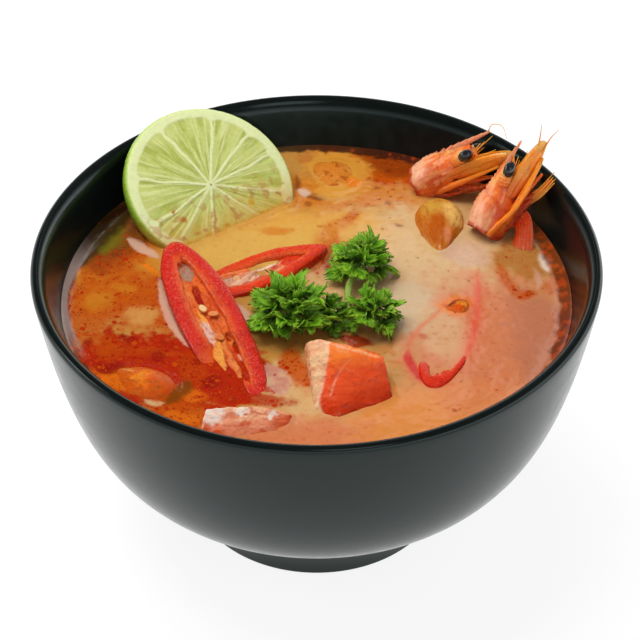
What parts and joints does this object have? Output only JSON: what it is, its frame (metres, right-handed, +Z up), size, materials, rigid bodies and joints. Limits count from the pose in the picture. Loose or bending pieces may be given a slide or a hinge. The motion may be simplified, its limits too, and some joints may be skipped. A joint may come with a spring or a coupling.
{
  "type": "tom yum soup",
  "caption": "Round footed bowl filled with creamy red soup, with a lime slice, chilli rings, parsley, fish, mussel meat, a mushroom and prawn heads on top.",
  "frame": {"origin": "centre of the foot's underside, on the surface that the bowl stands on", "axes": "+Z up out of the bowl, +Y to the far side of the bowl as seen, +X to the right"},
  "size_m": [0.15, 0.15, 0.0925],
  "materials": {
    "glaze": "satin black glaze",
    "broth": "glossy creamy broth with red oil",
    "lime": "moist citrus pulp and rind",
    "chilli": "moist red chilli flesh",
    "salmon": "moist flaky cooked fish",
    "mushroom": "moist cooked mushroom",
    "prawn": "glossy cooked shell",
    "mussel": "moist cooked shellfish meat",
    "parsley": "fresh curly leaf"
  },
  "bodies": {
    "root": {"bowl": "glaze", "soup": "broth", "lime_slice": "lime", "chilli_front": "chilli", "chilli_back": "chilli", "chilli_right": "chilli", "chilli_scrap": "chilli", "salmon_middle": "salmon", "salmon_front": "salmon", "mushroom_cap": "mushroom", "prawn_head_left": "prawn", "prawn_head_right": "prawn", "mussel_back": "mussel", "mussel_front": "mussel", "parsley_left": "parsley", "parsley_right": "parsley"}
  },
  "joints": []
}
